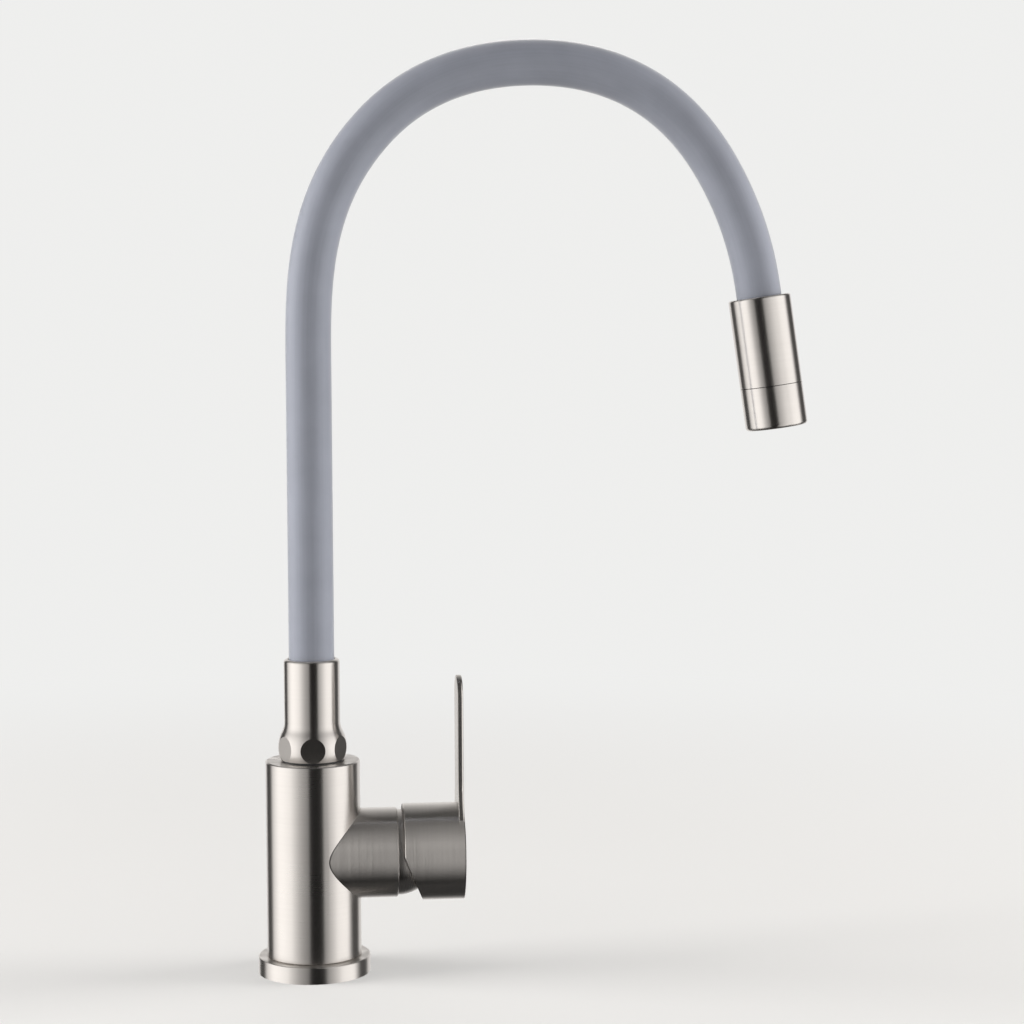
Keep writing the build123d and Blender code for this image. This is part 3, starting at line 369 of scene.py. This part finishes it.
def silicone():
    """Grey hose silicone: satin skin, faint dust and fine lines along the hose from its extrusion."""
    graph = Surface("hose_silicone")
    uv = graph.add("ShaderNodeUVMap", uv_map="hose").outputs[0]
    lines = graph.lines(uv, HOSE_LINES, 2.0)
    grain = graph.noise(graph.coords, HOSE_GRAIN, 2.0)
    dust = graph.noise(graph.coords, HOSE_DUST, 5.0)
    dust_tone = graph.ramp(dust, *NOISE, 0.0, DUST_SHARE)
    tone = graph.math("ADD", dust_tone, graph.ramp(lines, *NOISE, 0.0, 1.0 - DUST_SHARE))
    graph.set(Base_Color=graph.tint(tone, *shades(HOSE_GREY, HOSE_SHADES)))
    graph.set(Roughness=graph.ramp(graph.math("ADD", dust, lines), *NOISE_SUM, *HOSE_ROUGHNESS))
    graph.set(Sheen_Weight=HOSE_SHEEN, Sheen_Roughness=HOSE_SHEEN_ROUGHNESS)
    graph.bump(graph.math("ADD", grain, lines), HOSE_RELIEF, HOSE_DEPTH)
    return graph.material


def dress_nodes():
    """Gives every CAD node its material, and returns the hose's."""
    lean = pi / 2 - HEAD_AXIS.angle(Vector(X_AXIS))
    head = brushed_steel("head_steel", Z_AXIS, turned_by=lean)
    by_node = {
        "body_shell": brushed_steel(
            "column_steel", Z_AXIS, mask=housing_mask, other_axis=X_AXIS, other_finish=WIDE_SATIN
        ),
        "dome_cover": brushed_steel("dome_steel", X_AXIS, DOME_SATIN),
        "lever_handle": brushed_steel(
            "lever_steel", X_AXIS, WIDE_SATIN, mask=blade_mask, other_axis=ACROSS_BLADE, other_finish=BLADE_SATIN
        ),
        "head_shell": head,
        "outlet_ring": head,
    }
    by_slot = {"brushed_steel": brushed_steel("turned_steel", Z_AXIS), "hose_silicone": silicone()}
    for slot, metal in METALS.items():
        by_slot[slot] = machined_metal(*metal)
    for slot, surface in SOFT_SURFACES.items():
        by_slot[slot] = soft_surface(slot, *surface)
    for part in frame["record"]["subparts"]:
        node = part["node"]
        skin = NODES[node].data.materials
        skin.clear()
        skin.append(by_node.get(node, by_slot[part["material_slot"]]))
    return by_slot["hose_silicone"]


# Hose sleeve
def bezier(start, start_way, end, end_way, handles, low=0.0, high=1.0):
    """Points along a cubic curve that leaves start and meets end along the given ways."""
    first = start + start_way * handles[0]
    second = end - end_way * handles[1]
    count = max(2, round((end - start).length * (high - low) * CURVE_ALLOWANCE / HOSE_STEP))
    points = []
    for index in range(count + 1):
        t = low + (high - low) * index / count
        points.append(
            start * (1 - t) ** 3 + first * 3 * t * (1 - t) ** 2 + second * 3 * t * t * (1 - t) + end * t ** 3
        )
    return points


def line(start, end):
    count = round((end - start).length / HOSE_STEP)
    return [start.lerp(end, index / count) for index in range(count + 1)]


def joined(*runs):
    points = list(runs[0])
    for run in runs[1:]:
        points += run[1:]
    return points


def hose_tube(name, points, ways, skin, start_length):
    """A thick-walled tube along points in the XZ plane, with a map of metres around and along it."""
    vertices, faces, lengths = [], [], [start_length]
    for index, (point, way) in enumerate(zip(points, ways)):
        side = Vector((way.z, 0.0, -way.x))
        for radius in (HOSE_R, HOSE_R - HOSE_WALL):
            for step in range(HOSE_SIDES):
                angle = 2 * pi * step / HOSE_SIDES
                vertices.append(point + side * (radius * cos(angle)) + Vector((0, radius * sin(angle), 0)))
        if index:
            lengths.append(lengths[-1] + (point - points[index - 1]).length)
    ring = 2 * HOSE_SIDES
    last = ring * (len(points) - 1)
    for step in range(HOSE_SIDES):
        onward = (step + 1) % HOSE_SIDES
        for index in range(len(points) - 1):
            low = ring * index
            high = low + ring
            faces.append((low + step, low + onward, high + onward, high + step))
            low += HOSE_SIDES
            high += HOSE_SIDES
            faces.append((low + onward, low + step, high + step, high + onward))
        faces.append((step, HOSE_SIDES + step, HOSE_SIDES + onward, onward))
        faces.append((last + onward, last + HOSE_SIDES + onward, last + HOSE_SIDES + step, last + step))
    mesh = bpy.data.meshes.new(name)
    mesh.from_pydata([tuple(vertex) for vertex in vertices], [], faces)
    mesh.update()
    uv = mesh.uv_layers.new(name="hose")
    for face in mesh.polygons:
        steps = [mesh.loops[loop].vertex_index % HOSE_SIDES for loop in face.loop_indices]
        wraps = max(steps) - min(steps) > 1
        for loop, step in zip(face.loop_indices, steps):
            turned = HOSE_SIDES if wraps and step == 0 else step
            along = lengths[mesh.loops[loop].vertex_index // ring]
            uv.data[loop].uv = (turned * 2 * pi * HOSE_R / HOSE_SIDES, along)
        face.use_smooth = True
    mesh.set_sharp_from_angle(angle=radians(HOSE_EDGE_ANGLE))
    mesh.materials.append(skin)
    piece = bpy.data.objects.new(name, mesh)
    bpy.context.scene.collection.objects.link(piece)
    return piece, lengths[-1]


def heading(climb):
    return Vector((cos(radians(climb)), 0, sin(radians(climb))))


def hose_route():
    """Points along the whole hose, and the places in the list where it is divided."""
    up = Vector(Z_AXIS)
    climb, over, down = (heading(angle) for angle in (SHOULDER_CLIMB, CROWN_CLIMB, FALL_CLIMB))
    shoulder, crown, fall = (Vector(place) for place in (SHOULDER, CROWN, FALL))
    riser, head = (Vector(JOINTS[name]["pos_m"]) for name in ("riser_bend", "outlet_turn"))
    points = joined(
        line(Vector((0, 0, HOSE_FOOT_Z)), riser),
        bezier(riser, up, shoulder, climb, RISE_HANDLES),
    )
    cuts = [len(points) - 1]
    points = joined(
        points,
        bezier(shoulder, climb, crown, over, OVER_HANDLES),
        bezier(crown, over, fall, down, FALL_HANDLES, high=FALL_SPLIT),
    )
    cuts.append(len(points) - 1)
    points = joined(
        points,
        bezier(crown, over, fall, down, FALL_HANDLES, low=FALL_SPLIT),
        bezier(fall, down, head, HEAD_AXIS, TIP_HANDLES),
        line(head, head + HEAD_AXIS * HOSE_INSERT),
    )
    return points, [0, *cuts, len(points) - 1]


def make_hose(skin):
    """The sleeve in three lengths along its route, each hiding the CAD sleeve pieces it stands for."""
    points, cuts = hose_route()
    ways = []
    for index in range(len(points)):
        before = points[max(index - 1, 0)]
        after = points[min(index + 1, len(points) - 1)]
        ways.append((after - before).normalized())
    pieces = (
        ("hose_lower", ("spout", "hose_shoulder"), "riser_bend", RISER_CLIMB, BEND_HALF, ("hose_sleeve_riser",)),
        (
            "hose_middle", ("hose_shoulder", "hose_fall"), "crown_bend", CROWN_CLIMB, BEND_HALF,
            ("hose_sleeve_shoulder", "hose_sleeve_fall"),
        ),
        (
            "hose_upper", ("hose_fall", "spray_head"), "tip_bend", FALL_CLIMB, TIP_BEND_HALF,
            ("hose_sleeve_tip",),
        ),
    )
    length = 0.0
    for index, (name, bodies, joint, climb, half, stands_for) in enumerate(pieces):
        stretch = slice(cuts[index], cuts[index + 1] + 1)
        piece, length = hose_tube(name, points[stretch], ways[stretch], skin, length)
        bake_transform(piece)
        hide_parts(*stands_for)


# Stage
def studio_paper():
    """Pale paper that passes into the plain background away from the object."""
    graph = Surface("studio_paper")
    grain = graph.noise(graph.coords, PAPER_GRAIN, 3.0)
    cloud = graph.noise(graph.coords, PAPER_CLOUD, 3.0)
    graph.set(Base_Color=graph.tint(cloud, *shades(FLOOR_COLOUR, around(1, PAPER_MOTTLE))))
    graph.set(Roughness=graph.ramp(grain, *NOISE, *PAPER_ROUGHNESS))
    graph.bump(grain, PAPER_RELIEF, PAPER_DEPTH)
    away = graph.vector("LENGTH", graph.coords)["Value"]
    fade = graph.ramp(away, FADE_FROM, FADE_TO, FADE_START, 1.0, "SMOOTHSTEP")
    seen = graph.add("ShaderNodeLightPath").outputs["Is Camera Ray"]
    plain = graph.add("ShaderNodeEmission", {"Color": (*BACKGROUND, 1.0), "Strength": 1.0})
    share = graph.math("MULTIPLY", seen, fade)
    mixed = graph.add("ShaderNodeMixShader", {0: share, 1: graph.shader.outputs[0], 2: plain.outputs[0]})
    graph.feed(graph.output, mixed.outputs[0])
    return graph.material


def graded_light():
    """Light of the card, black round the camera and fading towards the floor and overhead."""
    graph = Surface("graded_light")
    left, right = CARD[0][0], CARD[-1][0]
    across = graph.ramp(graph.split(graph.coords)[0], left, right, 0.0, 1.0)
    brightness = graph.graded(across, [((place - left) / (right - left), level) for place, level in CARD])
    away = graph.vector("NORMALIZE", graph.vector("SUBTRACT", graph.coords, CARD_SEEN_FROM)[0])
    climb = graph.split(away[0])[2]
    level = graph.math("MULTIPLY", brightness, graph.window(climb))
    strength = graph.math("MULTIPLY", level, SURROUNDINGS_STRENGTH)
    light = graph.add("ShaderNodeEmission", {"Color": (*WARM, 1.0), "Strength": strength})
    graph.feed(graph.output, light.outputs[0])
    return graph.material


def stage_piece(name, vertices, faces, material):
    mesh = bpy.data.meshes.new(name)
    mesh.from_pydata(vertices, [], faces)
    mesh.materials.append(material)
    piece = bpy.data.objects.new(name, mesh)
    bpy.context.scene.collection.objects.link(piece)
    return piece


def make_stage():
    """Pale round floor, and a graded card in front that only the metal sees."""
    angles = [2 * pi * index / FLOOR_SIDES for index in range(FLOOR_SIDES)]
    disc = [(FLOOR_R * cos(angle), FLOOR_R * sin(angle), 0.0) for angle in angles]
    floor = stage_piece("studio_floor", disc, [tuple(range(FLOOR_SIDES))], studio_paper())
    floor.visible_glossy = False
    left, right = CARD[0][0], CARD[-1][0]
    low, high = CARD_Z
    corners = [(left, CARD_Y, low), (right, CARD_Y, low), (right, CARD_Y, high), (left, CARD_Y, high)]
    card = stage_piece("light_card", corners, [(0, 1, 2, 3)], graded_light())
    card.visible_camera = False
    card.visible_diffuse = False
    card.visible_shadow = False
    card.visible_transmission = False
    card.visible_volume_scatter = False


def make_world():
    """Studio round the tap: a broad light and a narrow dark strip each side, dim in front, pale behind."""
    world = bpy.data.worlds.new("studio")
    bpy.context.scene.world = world
    world.use_nodes = True
    graph = Nodes(world.node_tree)
    x, y, z = graph.split(graph.add("ShaderNodeTexCoord").outputs["Generated"])
    azimuth = graph.math("ARCTAN2", x, graph.math("MULTIPLY", y, -1.0))
    share = graph.math("ADD", graph.math("DIVIDE", azimuth, 2 * pi), 0.5)
    brightness = graph.graded(share, [(angle / 360 + 0.5, level) for angle, level in SURROUNDINGS])
    level = graph.math("MAXIMUM", graph.math("MULTIPLY", brightness, graph.window(z)), DARKEST)
    studio = world.node_tree.nodes["Background"]
    graph.feed(studio.inputs["Color"], graph.tint(level, (0.0, 0.0, 0.0), WARM))
    graph.feed(studio.inputs["Strength"], SURROUNDINGS_STRENGTH)
    plain = graph.add("ShaderNodeBackground", {"Color": (*BACKGROUND, 1.0)})
    seen = graph.add("ShaderNodeLightPath").outputs["Is Camera Ray"]
    mixed = graph.add("ShaderNodeMixShader", {0: seen, 1: studio.outputs[0], 2: plain.outputs[0]})
    graph.feed(world.node_tree.nodes["World Output"].inputs["Surface"], mixed.outputs[0])


def make_lights():
    """Soft lamps for the hose and the floor; the metal doesn't reflect them."""
    target = Vector(LIGHT_TARGET)
    for name, light in LIGHTS.items():
        lamp = bpy.data.lights.new(name, "AREA")
        lamp.shape = "RECTANGLE"
        lamp.size, lamp.size_y = light["size"]
        lamp.energy = light["watts"]
        lamp.color = WARM
        holder = bpy.data.objects.new(name, lamp)
        bpy.context.scene.collection.objects.link(holder)
        holder.location = light["at"]
        holder.visible_glossy = False
        holder.rotation_euler = (target - holder.location).to_track_quat("-Z", "Y").to_euler()


def make_camera():
    lens = bpy.data.cameras.new("photo_camera")
    lens.sensor_width = SENSOR
    lens.lens = CAMERA_LENS
    lens.clip_end = CLIP_END
    camera = bpy.data.objects.new("photo_camera", lens)
    bpy.context.scene.collection.objects.link(camera)
    turn = Matrix.Rotation(radians(-CAMERA_RIGHT), 4, "Z")
    turn = turn @ Matrix.Rotation(radians(90 - CAMERA_DOWN), 4, "X")
    turn = turn @ Matrix.Rotation(radians(CAMERA_ROLL), 4, "Z")
    camera.matrix_world = Matrix.Translation(CAMERA_EYE) @ turn
    bpy.context.scene.camera = camera


make_camera()
make_stage()
make_world()
make_lights()
make_hose(dress_nodes())
bpy.context.scene.view_settings.view_transform = "Standard"
